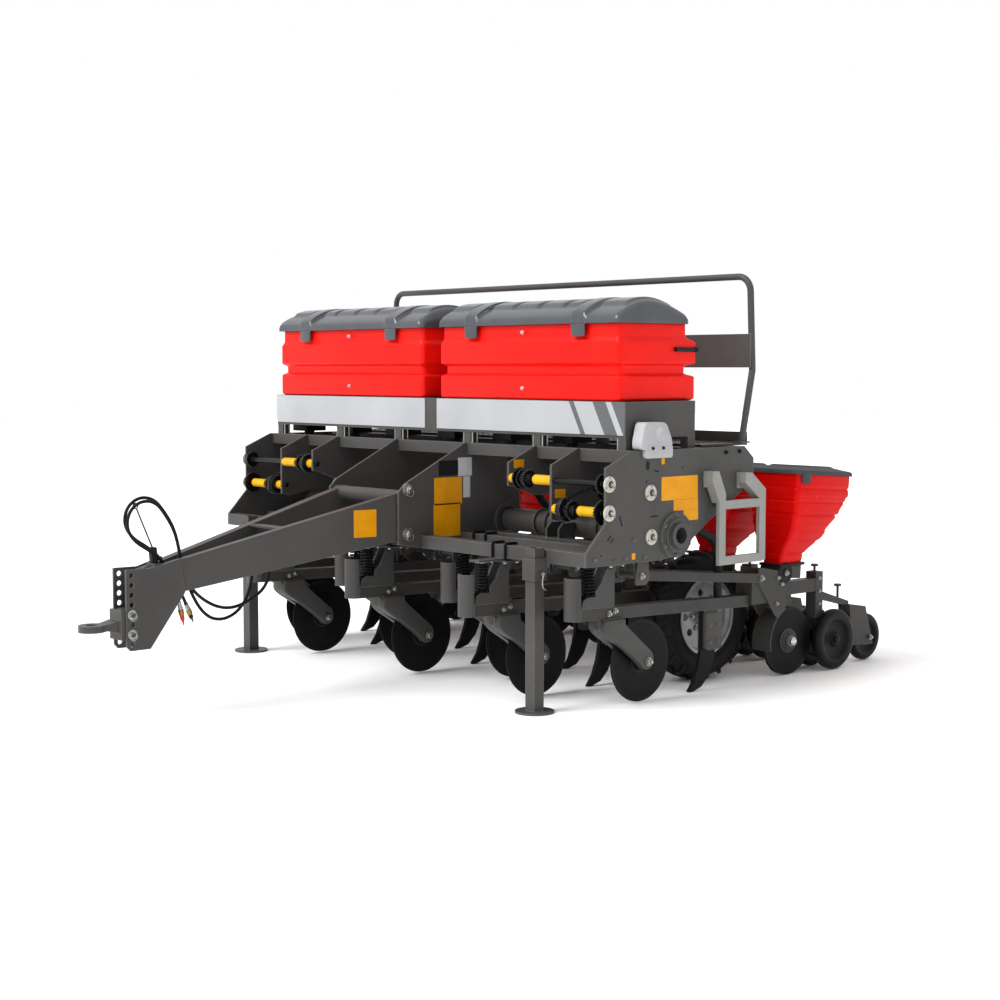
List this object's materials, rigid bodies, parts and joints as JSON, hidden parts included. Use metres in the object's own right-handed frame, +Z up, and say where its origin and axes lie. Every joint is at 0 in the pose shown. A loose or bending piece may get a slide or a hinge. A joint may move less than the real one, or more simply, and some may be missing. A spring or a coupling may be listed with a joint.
{
  "type": "precision seeder",
  "caption": "Towed precision seeder: A-frame drawbar, twin fertiliser bins, coulter beams with discs and knives, and seed units with hoppers, gauge wheels and press wheels.",
  "frame": {"origin": "on the ground under the middle of the machine's box, with the machine parked on its jacks and wheels", "axes": "+Z up; +Y from the drawbar towards the seed units; X across the rows"},
  "size_m": [3.094, 4.234, 2.108],
  "materials": {
    "charcoal_paint": "satin",
    "black_paint": "satin",
    "zinc_plate": "satin",
    "red_plastic": "satin",
    "grey_plastic": "satin",
    "pale_plastic": "satin",
    "black_plastic": "matte",
    "red_cap_plastic": "gloss",
    "yellow_plastic": "satin",
    "tyre_rubber": "matte",
    "grey_paint": "satin",
    "silver_panel": "satin",
    "chrome_rod": "polished",
    "hose_rubber": "matte",
    "rim_paint": "satin",
    "wheel_rubber": "matte"
  },
  "bodies": {
    "frame": {"frame_plates": "charcoal_paint", "tool_bars": "charcoal_paint", "drawbar_beams": "charcoal_paint", "hitch_plates": "charcoal_paint", "hitch_eye": "charcoal_paint", "jack_sleeves": "charcoal_paint", "hopper_cradle": "charcoal_paint", "cradle_panels": "silver_panel", "fertiliser_hoppers": "red_plastic", "fertiliser_meters": "black_plastic", "walkway": "charcoal_paint", "handrail": "charcoal_paint", "ladder": "grey_paint", "drive_cover": "pale_plastic", "drive_shafts": "zinc_plate", "shaft_bushes": "yellow_plastic", "row_beams": "charcoal_paint", "knife_shanks": "black_paint", "spring_covers": "charcoal_paint", "pressure_springs": "black_paint", "seed_frames": "charcoal_paint", "opener_discs": "black_paint", "seed_hoppers": "red_plastic", "seed_lids": "grey_plastic", "pressure_hose": "hose_rubber", "return_hose": "hose_rubber", "pressure_coupler": "red_cap_plastic", "return_coupler": "black_plastic"},
    "wheel_lift": {"lift_frame": "charcoal_paint"},
    "lift_barrel": {"lift_cylinder": "charcoal_paint"},
    "lift_piston": {"lift_rod": "chrome_rod"},
    "wheel_right": {"rim_right": "rim_paint", "tyre_right": "tyre_rubber"},
    "wheel_left": {"rim_left": "rim_paint", "tyre_left": "tyre_rubber"},
    "jack_right": {"jack_leg_right": "charcoal_paint"},
    "jack_left": {"jack_leg_left": "charcoal_paint"},
    "lid_right": {"hopper_lid_right": "grey_plastic"},
    "lid_left": {"hopper_lid_left": "grey_plastic"},
    "coulter_1": {"coulter_disc_1": "black_paint"},
    "gauge_1": {"gauge_wheels_1": "wheel_rubber"},
    "press_1": {"press_wheel_1": "wheel_rubber"},
    "coulter_2": {"coulter_disc_2": "black_paint"},
    "gauge_2": {"gauge_wheels_2": "wheel_rubber"},
    "press_2": {"press_wheel_2": "wheel_rubber"},
    "coulter_3": {"coulter_disc_3": "black_paint"},
    "gauge_3": {"gauge_wheels_3": "wheel_rubber"},
    "press_3": {"press_wheel_3": "wheel_rubber"},
    "coulter_4": {"coulter_disc_4": "black_paint"},
    "gauge_4": {"gauge_wheels_4": "wheel_rubber"},
    "press_4": {"press_wheel_4": "wheel_rubber"},
    "coulter_5": {"coulter_disc_5": "black_paint"},
    "gauge_5": {"gauge_wheels_5": "wheel_rubber"},
    "press_5": {"press_wheel_5": "wheel_rubber"},
    "coulter_6": {"coulter_disc_6": "black_paint"},
    "gauge_6": {"gauge_wheels_6": "wheel_rubber"},
    "press_6": {"press_wheel_6": "wheel_rubber"},
    "coulter_7": {"coulter_disc_7": "black_paint"},
    "gauge_7": {"gauge_wheels_7": "wheel_rubber"},
    "press_7": {"press_wheel_7": "wheel_rubber"}
  },
  "joints": [
    {"name": "wheel_lift_turn", "type": "hinge", "parent": "frame", "child": "wheel_lift", "pos_m": [-0.008, 0.261, 0.825], "axis": [-1, 0, 0], "range_deg": [0, 22]},
    {"name": "lift_barrel_turn", "type": "hinge", "parent": "frame", "child": "lift_barrel", "pos_m": [0.217, -0.31, 0.86], "axis": [-1, 0, 0], "range_deg": [0, 3]},
    {"name": "lift_piston_slide", "type": "slide", "parent": "lift_barrel", "child": "lift_piston", "axis": [0, 0.9347, 0.3555], "range_m": [0, 0.086]},
    {"name": "wheel_right_roll", "type": "hinge", "parent": "wheel_lift", "child": "wheel_right", "pos_m": [1.117, 0.847, 0.34], "axis": [-1, 0, 0], "continuous": true},
    {"name": "wheel_left_roll", "type": "hinge", "parent": "wheel_lift", "child": "wheel_left", "pos_m": [-1.133, 0.847, 0.34], "axis": [-1, 0, 0], "continuous": true},
    {"name": "jack_right_slide", "type": "slide", "parent": "frame", "child": "jack_right", "axis": [0, 0, 1], "range_m": [0, 0.3]},
    {"name": "jack_left_slide", "type": "slide", "parent": "frame", "child": "jack_left", "axis": [0, 0, 1], "range_m": [0, 0.3]},
    {"name": "lid_right_turn", "type": "hinge", "parent": "frame", "child": "lid_right", "pos_m": [0.725, 0.477, 1.852], "axis": [-1, 0, 0], "range_deg": [0, 95]},
    {"name": "lid_left_turn", "type": "hinge", "parent": "frame", "child": "lid_left", "pos_m": [-0.741, 0.477, 1.852], "axis": [-1, 0, 0], "range_deg": [0, 95]},
    {"name": "coulter_1_roll", "type": "hinge", "parent": "frame", "child": "coulter_1", "pos_m": [-1.358, 0.172, 0.206], "axis": [-1, 0, 0], "continuous": true},
    {"name": "gauge_1_roll", "type": "hinge", "parent": "frame", "child": "gauge_1", "pos_m": [-1.358, 1.614, 0.166], "axis": [-1, 0, 0], "continuous": true},
    {"name": "press_1_roll", "type": "hinge", "parent": "frame", "child": "press_1", "pos_m": [-1.358, 1.987, 0.133], "axis": [-1, 0, 0], "continuous": true},
    {"name": "coulter_2_roll", "type": "hinge", "parent": "frame", "child": "coulter_2", "pos_m": [-0.908, -0.098, 0.206], "axis": [-1, 0, 0], "continuous": true},
    {"name": "gauge_2_roll", "type": "hinge", "parent": "frame", "child": "gauge_2", "pos_m": [-0.908, 1.614, 0.166], "axis": [-1, 0, 0], "continuous": true},
    {"name": "press_2_roll", "type": "hinge", "parent": "frame", "child": "press_2", "pos_m": [-0.908, 1.987, 0.133], "axis": [-1, 0, 0], "continuous": true},
    {"name": "coulter_3_roll", "type": "hinge", "parent": "frame", "child": "coulter_3", "pos_m": [-0.458, 0.172, 0.206], "axis": [-1, 0, 0], "continuous": true},
    {"name": "gauge_3_roll", "type": "hinge", "parent": "frame", "child": "gauge_3", "pos_m": [-0.458, 1.614, 0.166], "axis": [-1, 0, 0], "continuous": true},
    {"name": "press_3_roll", "type": "hinge", "parent": "frame", "child": "press_3", "pos_m": [-0.458, 1.987, 0.133], "axis": [-1, 0, 0], "continuous": true},
    {"name": "coulter_4_roll", "type": "hinge", "parent": "frame", "child": "coulter_4", "pos_m": [-0.008, -0.098, 0.206], "axis": [-1, 0, 0], "continuous": true},
    {"name": "gauge_4_roll", "type": "hinge", "parent": "frame", "child": "gauge_4", "pos_m": [-0.008, 1.614, 0.166], "axis": [-1, 0, 0], "continuous": true},
    {"name": "press_4_roll", "type": "hinge", "parent": "frame", "child": "press_4", "pos_m": [-0.008, 1.987, 0.133], "axis": [-1, 0, 0], "continuous": true},
    {"name": "coulter_5_roll", "type": "hinge", "parent": "frame", "child": "coulter_5", "pos_m": [0.442, 0.172, 0.206], "axis": [-1, 0, 0], "continuous": true},
    {"name": "gauge_5_roll", "type": "hinge", "parent": "frame", "child": "gauge_5", "pos_m": [0.442, 1.614, 0.166], "axis": [-1, 0, 0], "continuous": true},
    {"name": "press_5_roll", "type": "hinge", "parent": "frame", "child": "press_5", "pos_m": [0.442, 1.987, 0.133], "axis": [-1, 0, 0], "continuous": true},
    {"name": "coulter_6_roll", "type": "hinge", "parent": "frame", "child": "coulter_6", "pos_m": [0.892, -0.098, 0.206], "axis": [-1, 0, 0], "continuous": true},
    {"name": "gauge_6_roll", "type": "hinge", "parent": "frame", "child": "gauge_6", "pos_m": [0.892, 1.614, 0.166], "axis": [-1, 0, 0], "continuous": true},
    {"name": "press_6_roll", "type": "hinge", "parent": "frame", "child": "press_6", "pos_m": [0.892, 1.987, 0.133], "axis": [-1, 0, 0], "continuous": true},
    {"name": "coulter_7_roll", "type": "hinge", "parent": "frame", "child": "coulter_7", "pos_m": [1.342, 0.172, 0.206], "axis": [-1, 0, 0], "continuous": true},
    {"name": "gauge_7_roll", "type": "hinge", "parent": "frame", "child": "gauge_7", "pos_m": [1.342, 1.614, 0.166], "axis": [-1, 0, 0], "continuous": true},
    {"name": "press_7_roll", "type": "hinge", "parent": "frame", "child": "press_7", "pos_m": [1.342, 1.987, 0.133], "axis": [-1, 0, 0], "continuous": true}
  ],
  "couplings": [
    {"joint": "lift_barrel_turn", "follows": "wheel_lift_turn", "ratio": 0.136},
    {"joint": "lift_piston_slide", "follows": "wheel_lift_turn", "m_per_rad": 0.2237}
  ]
}
